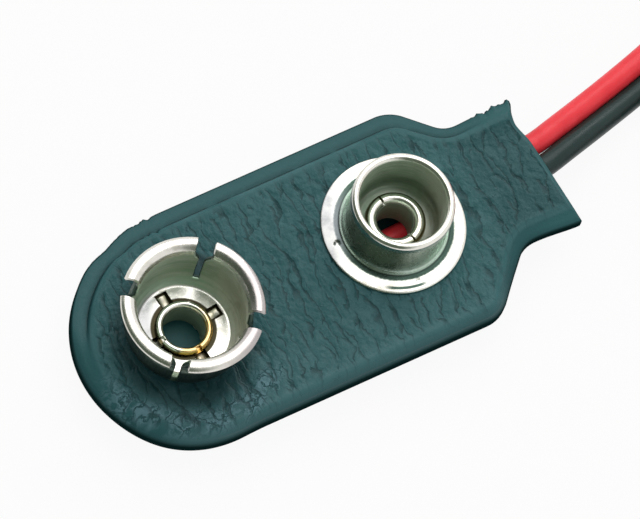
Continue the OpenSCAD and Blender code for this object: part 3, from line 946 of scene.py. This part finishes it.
def metalFinish(name, base, rough, around=None, pitted=False):
    material, flow = newMaterial(name)
    place = inMillimetres(flow)
    patch = place.clouds(1.3, 4, 0.6)
    scuffs = place.clouds(9, 3)
    bands = place.stretch((0.15, 0.15, 5.5)).clouds(1.3, 3)  # rings left by drawing the cup
    inner = marked(flow, "inner")
    shade = (marked(flow, "shade") + (scuffs - 0.5) * 0.4).ease(0.2, 0.8)
    # a tarnished tone and painted shade inside the cups, with the rings left by drawing
    stainAndShade = inner * (patch * 0.2 + bands.ease(0.36, 0.64) * 0.6 + 0.5)
    if around:  # painted light: lighter on the right
        out, reach = fromAxis(flow, place, around)
        right = leaning(flow, out, metalLook["rightWay"])
        stainAndShade = stainAndShade * (1 - right.ease(0.6, 2.6) * (bands + 0.42).atMost(1.0))
    colour = flow.blend(base, metalLook["nickelWorn"], patch.ease(0.5, 0.68))
    colour = flow.blend(colour, metalLook["tarnishAndShade"], stainAndShade)
    # painted reflections of dark surroundings where the shade mark is set
    if pitted:
        colour = flow.blend(colour, metalLook["outer"], shade * 0.99)
        colour = socketTint(flow, colour, place.part("Z") - contacts["seat"], reach, right, patch)
    else:
        colour = flow.blend(colour, metalLook["shade"], shade * 0.94)
        colour = flangeTint(flow, colour, out, reach, right, patch, shade) if around else colour
    wearAndSheen = patch.ease(0.4, 0.75) * 0.1 + (scuffs - 0.5) * 0.08
    paint(flow, {
        "Base Color": colour,
        "Metallic": 1.0,
        "Roughness": rough + wearAndSheen + inner * 0.34 + shade * 0.08,
        "Normal": relief(flow, place.clouds(1.6, 2) + scuffs * 0.12 + bands * inner * 4, metalLook["ripple"]),
    })
    return material


def flangeTint(flow, colour, out, reach, right, patch, shade):  # painted reflections: dark foot, dark streak and bluish left side
    turned = leaning(flow, out, metalLook["streakWay"]) / reach
    streak = turned.ease(0.93, 0.98) * reach.within(3.4, 3.48, 3.56, 3.64)
    foot = shade * reach.within(2.8, 2.9, 3.3, 3.5)
    colour = flow.blend(colour, metalLook["outer"], foot.atLeast(streak))
    return flow.blend(colour, metalLook["bluish"], (0 - right).ease(2.1, 3.4) * (patch * 0.6 + 0.45))


def socketTint(flow, colour, level, reach, right, patch):  # lips greyer towards the right as painted shade, painted reflection on the left side of the base, and painted shade in the windows and round the rivet
    edge = level.ease(3.1, 3.3) * (patch * 0.3 + right.ease(0.8, 3.2) * 0.85).atMost(1.0)
    colour = flow.blend(colour, metalLook["lip"], edge)
    left = (0 - right).ease(0.9, 1.9) * (1 - level.ease(0.2, 0.5)) * 0.9
    colour = flow.blend(colour, metalLook["bluish"], left)
    return flow.blend(colour, metalLook["recessShade"], recessShading(reach, level))


def recessShading(reach, level):  # painted shade in the windows of the socket's base, and in the gap round its rivet
    windows = (1 - level.ease(0.1, 0.25)) * (1 - reach.ease(2.29, 2.33))
    creviceShade = (1 - reach.ease(1.68, 1.76)) * (1 - level.ease(0.32, 0.36))
    return windows.atLeast(creviceShade)


def eyeletFinish(name, at, bore, crown, gold):  # a dull bore, brass showing on one side of the rim, and painted shade on the rim's outer side
    material, flow = newMaterial(name)
    place = inMillimetres(flow)
    out, reach = fromAxis(flow, place, at)
    lean = leaning(flow, out, metalLook["giltWay"])
    inside = (1 - reach.ease(bore, bore + 0.07)) * (1 - place.part("Z").ease(crown - 0.3, crown - 0.1))
    scuffs = place.clouds(7, 3)
    bare = (lean * 0.45 + place.clouds(1.7, 3) * 1.1).ease(0.5, 0.95) * gold
    flankShade = reach.ease(bore + 0.19, bore + 0.25) * (1 - place.part("Z").ease(crown - 0.08, crown - 0.01))
    colour = flow.blend(metalLook["nickel"], metalLook["brass"], bare)
    colour = flow.blend(colour, flow.blend(metalLook["flankShade"], metalLook["gilt"], bare), flankShade)
    paint(flow, {
        "Base Color": flow.blend(colour, metalLook["dull"], inside),
        "Metallic": 1.0 - inside * 0.7,
        "Roughness": inside * 0.4 + 0.13 + scuffs * 0.1,
        "Normal": relief(flow, place.clouds(2.2, 2) + scuffs * 0.2, 0.012),
    })
    return material


nickel = metalFinish("bright nickel", metalLook["nickel"], 0.18, contacts["studAt"])
socketNickel = metalFinish("socket nickel", metalLook["nickel"], 0.24, contacts["socketAt"], True)
tabMetal = metalFinish("tab", metalLook["tab"], 0.3)
tin = metalFinish("tin", metalLook["tin"], 0.3)
copper = metalFinish("copper", metalLook["copper"], 0.3)


def revolve(profile, at, level, sides=192, dent=None):  # a closed section turned round an upright axis
    points, faces = [], []
    count = len(profile)
    for i in range(sides):
        a = math.tau * i / sides
        for r, z in profile:
            drop = dent(r, a, z) if dent else 0.0
            points.append((at[0] + r * math.cos(a), at[1] + r * math.sin(a), level + z - drop))
    for i in range(sides):
        j = (i + 1) % sides
        for k in range(count):
            m = (k + 1) % count
            faces.append((i * count + k, j * count + k, j * count + m, i * count + m))
    return points, faces


def finePath(points, step):  # the same path with more points on its straight stretches
    path = []
    for a, b in zip(points, points[1:]):
        a, b = Vector(a), Vector(b)
        parts = max(1, round((b - a).length / step))
        path += [a.lerp(b, k / parts) for k in range(parts)]
    return path + [Vector(points[-1])]


# stud
stud = {
    "flange": 3.8,
    "neck": 2.5,
    "grip": 2.7,
    "gripHeight": 0.4,
    "height": 3.35,
    "coveHeight": 1.5,
    "coveSteps": 18,
    "droop": 0.13,  # fall of the flange towards its edge
    "bowl": 0.7,
    "roll": 0.22,
    "bead": (2.82, 0.05),  # radius and height of the line where the flange meets the cove
    "footDark": (-3.24, 0.2),  # painted reflection darkens the flange inwards over this span
    "edge": 0.06,
    "marks": [(174.6, 3.2, 0.14, 0.05), (264, 3.3, 0.09, 0.03),
              (88, 3.25, 0.12, 0.04), (358, 3.25, 0.12, 0.04)],  # angle, radius, size and depth
    "markLevels": (0.12, 0.6),
    "sides": 256,
}


def studSection():
    s, metal, hole, edge = stud, contacts["metal"], contacts["studHole"], stud["edge"]
    inner = s["neck"] - metal
    bandTop = s["height"] - s["roll"]
    bandLow = bandTop - s["gripHeight"]
    beadR, beadH = s["bead"]
    coveWide, coveHigh = beadR - 0.05 - s["neck"], s["coveHeight"]
    angles = [math.radians(90 * i / s["coveSteps"]) for i in range(s["coveSteps"] + 1)]
    cove = [(s["neck"] + coveWide * (1 - math.sin(a)), metal + beadH * 0.4 + coveHigh * (1 - math.cos(a)))
            for a in angles]
    outside = [
        (hole, 0), (s["flange"] - 0.05, 0), *arc((s["flange"] - edge, edge), edge, -80, 0, 4),
        *arc((s["flange"] - edge, metal - s["droop"] - edge), edge, 0, 75, 4),
        (beadR + 0.14, metal), (beadR + 0.09, metal + beadH * 0.1), (beadR + 0.04, metal + beadH * 0.8),
        (beadR, metal + beadH), (beadR - 0.04, metal + beadH * 0.75)]
    path = finePath([*outside, *cove,
                     (s["neck"], bandLow - 0.34), (s["neck"] + 0.04, bandLow - 0.24),
                     (s["grip"] - 0.03, bandLow - 0.04), (s["grip"], bandLow + 0.03),
                     (s["grip"], bandTop)], 0.09)
    rolled = arc((s["grip"] - s["roll"], bandTop), s["roll"], 12, 180, 12)
    inside = finePath([tuple(rolled[-1]), (inner + 0.01, bandLow - 0.2), (inner, bandLow - 0.4),
                       (inner, metal + s["bowl"])], 0.12)[1:]
    bowl = arc((inner - s["bowl"], metal + s["bowl"]), s["bowl"], -8, -90, 10)
    return [tuple(p) for p in [*path, *rolled, *inside, *bowl]] + [(hole, metal)]


def studMarks(section):  # a tarnished tone and painted shade inside, and the painted reflection of the dark that the cove and the flange's edge mirror
    s, metal = stud, contacts["metal"]
    bandTop = s["height"] - s["roll"]
    inner = [ease((bandTop + 0.12 - z) / 0.1) if r < s["neck"] - 0.1 else 0.0 for r, z in section]
    shade = []
    for r, z in section:
        cove = s["neck"] - 0.1 <= r < s["bead"][0] - 0.02 and metal < z <= bandTop + 0.04
        edge = r > s["flange"] - 0.04 and z < metal - s["droop"] - 0.02
        onFlange = s["bead"][0] - 0.02 <= r and metal - s["droop"] < z
        foot = ramp(-r, s["footDark"]) if onFlange else 0.0
        shade.append(1.0 if cove or edge else foot)
    return {"inner": inner, "shade": shade}


def studDent(r, a, z):
    low, high = stud["markLevels"]
    if z < low or z > high:
        return 0.0
    drop = 0.0
    for degrees, reach, size, depth in stud["marks"]:
        spot = polar(reach, degrees)
        here = Vector((r * math.cos(a), r * math.sin(a)))
        drop += depth * ease(1.5 - (here - spot).length / size)
    return drop


studLine = studSection()
studShape = revolve(studLine, contacts["studAt"], contacts["seat"], stud["sides"], studDent)
studTones = {label: values * stud["sides"] for label, values in studMarks(studLine).items()}
studCup = newPiece("studCup", *studShape, nickel, 30, studTones)
handOver(studCup, "nickel", "stud_cup")
print("stud turned")

# eyelets
eyelets = {
    "wall": 0.2,
    "foot": 2.1,
    "footLevel": 1.7,
    "boardLevel": 1.95,
    "socket": {"bore": 1.1, "rim": 1.5, "rise": 0.35, "gold": 1.0,
               "cuts": {"angles": (185, 275), "reach": (1.22, 2), "width": 0.3, "levels": (3.34, 4)}},
    "stud": {"bore": 0.95, "rim": 1.6, "rise": 0.65, "gold": 0.1,
             "cuts": {"angles": (97, 284), "reach": (0.8, 2), "width": 0.12, "levels": (3.72, 4.4)}},
}


def eyeletSection(bore, rim, crown):
    e = eyelets
    seat = contacts["seat"] + contacts["metal"]
    roll = (rim - bore) / 2
    path = finePath([(bore + 0.1, e["footLevel"]), (e["foot"], e["footLevel"]), (e["foot"], e["boardLevel"]),
                     (bore + e["wall"], e["boardLevel"]), (bore + e["wall"], seat), (rim - 0.05, seat),
                     (rim, seat + 0.06)], 0.3)
    rolled = arc((bore + roll, crown - roll), roll, 0, 180, 16)
    inside = finePath([tuple(rolled[-1]), (bore, e["footLevel"] + 0.1)], 0.3)[1:]
    return [tuple(p) for p in [*path, *rolled, *inside]]


def notchCutter(at, angles, reach, width, levels):
    points, faces = [], []
    for angle in angles:
        out = polar(1, angle)
        side = Vector((-out.y, out.x))
        base = len(points)
        for z in levels:
            for r, w in ((reach[0], -1), (reach[1], -1), (reach[1], 1), (reach[0], 1)):
                p = Vector(at) + out * r + side * w * width / 2
                points.append((p.x, p.y, z))
        faces += [tuple(base + i for i in face) for face in
                  ((3, 2, 1, 0), (4, 5, 6, 7), (0, 1, 5, 4), (1, 2, 6, 5), (2, 3, 7, 6), (3, 0, 4, 7))]
    return points, faces


def setEyelet(name, contact, cadNode, slot):
    shape, at = eyelets[contact], contacts[contact + "At"]
    crown = contacts["seat"] + contacts["metal"] + shape["rise"]
    finish = eyeletFinish(contact + " rivet", at, shape["bore"], crown, shape["gold"])
    section = eyeletSection(shape["bore"], shape["rim"], crown)
    piece = newPiece(name, *revolve(section, at, 0), finish, 30)
    cutAway(piece, newPiece("cuts", *notchCutter(at, **shape["cuts"]), finish))
    handOver(piece, slot, cadNode)


setEyelet("socketEyelet", "socket", "socket_eyelet", "brass")
setEyelet("studEyelet", "stud", "stud_eyelet", "nickel")
print("eyelets set")

# socket, one petal repeated round its axis
socket = {
    "petals": 4,
    "firstSlot": 50,
    "slot": 0.4,
    "lipGap": 1.0,
    "slotFoot": 0.56,
    "base": 2.3,
    "belly": 3.0,
    "bellyHeight": 1.6,
    "grip": 2.86,
    "gripHeight": 0.6,
    "neckSlope": 0.3,
    "lip": 3.72,
    "height": 3.7,
    "lipRise": 0.1,
    "lipSheet": 0.24,
    "lipTurn": [(0, 0), (0.01, 0.12), (0.06, 0.25), (0.15, 0.34), (0.27, 0.395), (0.4, 0.41),
                (0.52, 0.39), (0.6, 0.345), (0.63, 0.28)],  # from the top of the neck
    "gapOpens": (-0.6, 0.65),  # spans upwards from there
    "lipThins": (0, 0.2),
    "outerDark": (-0.2, 0.15),  # spans downwards from there
    "innerDark": (-0.12, 0.1),
    "edgeDark": (0.1, 1.0, 0.5),  # depth below there, shade under it and above it
    "floorEnd": (0.16, 0.05),
    "outerShade": 0.75,
    "bulge": 0.06,  # rounded edges of the slots
    "bowlSteps": 16,
    "neckSteps": 6,
    "window": {"reach": (1, 2.25), "width": 0.7, "levels": (0.02, 0.6)},
    "halfSteps": 16,
}


def socketMidline():  # the middle of the sheet, from the hole to the lip's edge
    s, metal = socket, contacts["metal"]
    roll = (s["lip"] - s["grip"]) / 2
    neckTop = s["height"] - roll - s["lipRise"]
    neckLow = neckTop - s["gripHeight"]
    belly, grip = s["belly"] + metal / 2, s["grip"] + metal / 2
    bowl = []
    for i in range(1, s["bowlSteps"] + 1):
        a = math.radians(90 * i / s["bowlSteps"])
        bowl.append((s["base"] + (belly - s["base"]) * math.sin(a),
                     metal / 2 + (s["bellyHeight"] - metal / 2) * (1 - math.cos(a))))
    shares = [i / s["neckSteps"] for i in range(s["neckSteps"] + 1)]
    neck = [(belly + (grip - belly) * ease(t), neckLow - s["neckSlope"] * (1 - t)) for t in shares]
    turn = [(grip + r, neckTop + z, 0) for r, z in s["lipTurn"]]
    lip = [p.to_2d() for p in smoothRoute(turn, 3)][1:]
    path = finePath([(contacts["socketHole"], metal / 2), (s["base"], metal / 2)], 0.14)
    path += [Vector(p) for p in bowl]
    path += finePath([bowl[-1], neck[0]], 0.15)[1:]
    path += [Vector(p) for p in neck[1:]]
    path += finePath([neck[-1], (grip, neckTop)], 0.15)[1:]
    return path + lip, neckTop


def petal():
    s, metal = socket, contacts["metal"]
    line, neckTop = socketMidline()
    foot = next(i for i, p in enumerate(line) if p.y > s["slotFoot"])
    line.insert(foot, Vector((line[foot].x, line[foot].y - 0.02)))
    steps = s["halfSteps"]
    quarter = math.pi / s["petals"]
    edgeDepth, edgeLow, edgeHigh = s["edgeDark"]
    points, faces, rows, inner, shade = [], [], [], [], []
    for k, mid in enumerate(line):
        a, b = line[max(k - 1, 0)], line[min(k + 1, len(line) - 1)]
        along = (b - a).normalized()
        across = Vector((-along.y, along.x))
        above = mid.y - neckTop
        thick = metal + (s["lipSheet"] - metal) * ramp(above, s["lipThins"])
        gap = 0.0
        if k > foot:
            gap = s["slot"] / 2 + (s["lipGap"] - s["slot"]) / 2 * ramp(above, s["gapOpens"])
        wall = ramp(mid.y, s["floorEnd"]) * ramp(-above, s["innerDark"])
        dark = s["outerShade"] * ramp(-above, s["outerDark"])
        row = {}
        for side, face in ((1, "in"), (-1, "out")):
            spot = mid + across * side * thick / 2
            end = quarter - math.asin(gap / spot.x)
            row[face] = []
            for j in range(-steps, steps + 1):
                inner.append(wall if face == "in" else 0.0)
                shade.append(dark if face == "out" else 0.0)
                a = end * j / steps
                points.append((spot.x * math.cos(a), spot.x * math.sin(a), spot.y))
                row[face].append(len(points) - 1)
        bulge = s["bulge"] if k > foot else 0.0
        end = quarter - math.asin(gap / mid.x) + bulge / mid.x
        below = mid.y < neckTop - edgeDepth
        for sign in (-1, 1):
            points.append((mid.x * math.cos(end * sign), mid.x * math.sin(end * sign), mid.y))
            inner.append(1.0 if below else 0.0)
            shade.append(edgeLow if below else edgeHigh)
            row[sign] = len(points) - 1
        rows.append(row)
    for k in range(len(rows) - 1):
        low, high = rows[k], rows[k + 1]
        for j in range(2 * steps):
            faces.append((low["in"][j], low["in"][j + 1], high["in"][j + 1], high["in"][j]))
            faces.append((low["out"][j], high["out"][j], high["out"][j + 1], low["out"][j + 1]))
        if k >= foot:
            for sign, j in ((-1, 0), (1, 2 * steps)):
                faces.append((low["in"][j], low[sign], high[sign], high["in"][j]))
                faces.append((low[sign], low["out"][j], high["out"][j], high[sign]))
    for row, tip in ((rows[0], False), (rows[-1], True)):
        for j in range(2 * steps):
            faces.append((row["in"][j], row["in"][j + 1], row["out"][j + 1], row["out"][j]))
        if tip:
            faces.append((row["in"][0], row[-1], row["out"][0]))
            faces.append((row["in"][-1], row[1], row["out"][-1]))
    return points, faces, {"inner": inner, "shade": shade}


def ringOf(flow, given, firstAngle=0.0):  # the incoming mesh, repeated round the upright axis
    spots = flow.make("GeometryNodePoints", None, {"Count": given["Count"]})
    turn = flow.make("GeometryNodeInputIndex") * (math.tau / given["Count"]) + firstAngle
    spin = flow.make("ShaderNodeCombineXYZ", None, {"Z": turn})
    return flow.make("GeometryNodeInstanceOnPoints", None,
                     {"Points": spots, "Instance": given["Geometry"], "Rotation": spin})


def ringTree(name, material):
    tree, flow, given = newTree(name, {"Count": "NodeSocketInt", "First Angle": "NodeSocketFloat",
                                       "Place": "NodeSocketVector"})
    ring = ringOf(flow, given, given["First Angle"])
    solid = flow.make("GeometryNodeRealizeInstances", None, {"Geometry": ring})
    joined = flow.make("GeometryNodeMergeByDistance", None, {"Geometry": solid, "Distance": 0.002 * mm})
    moved = flow.make("GeometryNodeTransform", None, {"Geometry": joined, "Translation": given["Place"]})
    endTree(flow, moved, material)
    return tree


petalPoints, petalFaces, petalMarks = petal()
socketCup = newPiece("socketCup", petalPoints, petalFaces, socketNickel, 30, petalMarks)
firstPetal = socket["firstSlot"] + 180 / socket["petals"]
ringValues = {
    "Count": socket["petals"],
    "First Angle": math.radians(firstPetal),
    "Place": (*(Vector(contacts["socketAt"]) * mm), contacts["seat"] * mm)}
runTree(socketCup, ringTree("petals", socketNickel), ringValues)
window = socket["window"]
windows = notchCutter(
    contacts["socketAt"], [firstPetal + 360 / socket["petals"] * i for i in range(socket["petals"])],
    window["reach"], window["width"], [contacts["seat"] + z for z in window["levels"]])
cutAway(socketCup, newPiece("windows", *windows, socketNickel))
finishMesh(socketCup, 30)
handOver(socketCup, "nickel", "socket_cup")

tabs = {
    "path": [(1.36, 0.06), (1.6, 0.07), (1.85, 0.12), (2.02, 0.2), (2.1, 0.2)],
    "section": [(-0.2, 0.03), (-0.14, 0), (0.14, 0), (0.2, 0.03)],  # across, and how far below the path
    "under": 0.01,
}


def tab():  # the tongue left in a window of the base, bent down towards the rivet
    path = tabs["path"]
    points, faces = [], []
    for r, z in path:
        for y, drop in tabs["section"]:
            points += [(r, y, z - drop), (r, y, tabs["under"])]
    for k in range(len(path) - 1):
        a, b = k * 8, k * 8 + 8
        for j in range(0, 6, 2):
            faces.append((a + j, b + j, b + j + 2, a + j + 2))
            faces.append((a + j + 1, a + j + 3, b + j + 3, b + j + 1))
        faces += [(a, a + 1, b + 1, b), (a + 6, b + 6, b + 7, a + 7)]
    end = len(path) * 8 - 8
    faces += [(0, 2, 4, 6, 7, 5, 3, 1), (end + 1, end + 3, end + 5, end + 7, end + 6, end + 4, end + 2, end)]
    return points, faces


socketTabs = newPiece("socketTabs", *tab(), tabMetal)
runTree(socketTabs, ringTree("tabs", tabMetal), ringValues)
finishMesh(socketTabs)
handOver(socketTabs, "nickel")
print("socket formed:", len(socketCup.data.polygons), "faces")

# bare tips, each a core with strands twisted round it
tips = {
    "length": 4.0,
    "wire": 0.1,
    "turns": 1.3,
    "strands": 6,
    "steps": 32,
    "sides": 10,
}


def strand():  # one strand, wound round an upright core
    wire, sides = tips["wire"], tips["sides"]
    points, faces = [], []
    for i in range(tips["steps"] + 1):
        t = i / tips["steps"]
        middle = polar(2 * wire, 360 * tips["turns"] * t)
        points += [(*(middle + polar(wire, 360 * k / sides)), tips["length"] * t) for k in range(sides)]
        if i:
            low, high = (i - 1) * sides, i * sides
            faces += [(low + k, low + (k + 1) % sides, high + (k + 1) % sides, high + k)
                      for k in range(sides)]
    return points, faces + [tuple(range(sides)), tuple(range(len(points) - sides, len(points)))]


def bundleTree(material):
    tree, flow, given = newTree("strands", {"Count": "NodeSocketInt", "Core": "NodeSocketFloat",
                                            "Length": "NodeSocketFloat", "Place": "NodeSocketVector",
                                            "Turn": "NodeSocketVector"})
    core = flow.make("GeometryNodeMeshCylinder", None,
                     {"Vertices": 12, "Radius": given["Core"], "Depth": given["Length"]})
    middle = flow.make("ShaderNodeCombineXYZ", None, {"Z": given["Length"] * 0.5})
    raised = flow.make("GeometryNodeTransform", None, {"Geometry": core, "Translation": middle})
    both = flow.make("GeometryNodeJoinGeometry", None, {"Geometry": [ringOf(flow, given), raised]})
    moved = flow.make("GeometryNodeTransform", None,
                      {"Geometry": both, "Translation": given["Place"], "Rotation": given["Turn"]})
    endTree(flow, moved, material)
    return tree


def bareTip(name, line, tree, cadNode):  # goes on from the end of a lead
    way = line[-1] - line[-2]
    tip = newPiece(name, *strand(), tin)
    runTree(tip, tree, {"Count": tips["strands"], "Core": tips["wire"] * mm, "Length": tips["length"] * mm,
                        "Place": line[-1] * mm, "Turn": (0, math.pi / 2, math.atan2(way.y, way.x))})
    finishMesh(tip)
    handOver(tip, "tin", cadNode)
    return tip


strandNodes = bundleTree(tin)
redTip = bareTip("redTip", redLine, strandNodes, "red_tip")
blackTip = bareTip("blackTip", blackLine, strandNodes, "black_tip")
print("tips stranded")

# band round both coils
band = {
    "angle": 190,
    "inner": 4.0,
    "outer": 9.03,
    "low": 0.17,
    "high": 2.63,
    "thick": 0.17,
    "wide": 1.4,
    "bend": 0.5,
    "bendSteps": 10,
    "edgeIn": 0.05,
    "edgeFlat": 0.4,  # share of the thickness
}


def bandLoop():
    b, half = band, band["thick"] / 2
    left, right, low, high = b["inner"] - half, b["outer"] + half, b["low"] - half, b["high"] + half
    bend, steps = b["bend"], b["bendSteps"]
    corners = (((right - bend, high - bend), 0), ((left + bend, high - bend), 90),
               ((left + bend, low + bend), 180), ((right - bend, low + bend), 270))
    path = [(Vector(middle), start + 90 * k / steps) for middle, start in corners for k in range(steps + 1)]
    edge, flat = b["wide"] / 2, b["edgeFlat"]
    face = edge - b["edgeIn"]
    section = [(-edge, -flat), (-face, -1), (face, -1), (edge, -flat),
               (edge, flat), (face, 1), (-face, 1), (-edge, flat)]
    turn = Matrix.Rotation(math.radians(b["angle"]), 3, "Z")
    centre = Vector((*leads["coilAt"], 0))
    points, faces, count = [], [], len(section)
    for i, (middle, degrees) in enumerate(path):
        for side, out in section:
            r, z = middle + polar(bend + out * half, degrees)
            points.append(centre + turn @ Vector((r, side, z)))
        j = (i + 1) % len(path)
        faces += [(i * count + k, i * count + (k + 1) % count, j * count + (k + 1) % count, j * count + k)
                  for k in range(count)]
    return points, faces


# the other nodes keep their shape and get their finish
plainLook = {
    "board": {"base": (0.30, 0.18, 0.08), "other": (0.22, 0.12, 0.05), "rough": 0.7, "scale": 2.0},
    "tie": {"base": (0.75, 0.75, 0.72), "other": (0.66, 0.66, 0.63), "rough": 0.5, "scale": 3.0},
}


def plainFinish(name, base, other, rough, scale):
    material, flow = newMaterial(name)
    place = inMillimetres(flow)
    fibres = place.stretch((0.4, 2.5, 2.5)).clouds(scale, 4)
    paint(flow, {
        "Base Color": flow.blend(base, other, fibres.ease(0.35, 0.7)),
        "Roughness": rough + (fibres - 0.5) * 0.2,
        "Normal": relief(flow, fibres, 0.02),
    })
    return material


finishes = {
    "stiffener_board": plainFinish("fibre board", **plainLook["board"]),
    "red_strands": copper,
    "black_strands": copper,
    "red_solder": tin,
    "black_solder": tin,
}
for name, material in finishes.items():
    nodes[name].data.materials.clear()
    nodes[name].data.materials.append(material)
print("finishes given")

tieBand = newPiece("tieBand", *bandLoop(), plainFinish("tie", **plainLook["tie"]))
handOver(tieBand, "tie", "lead_tie")
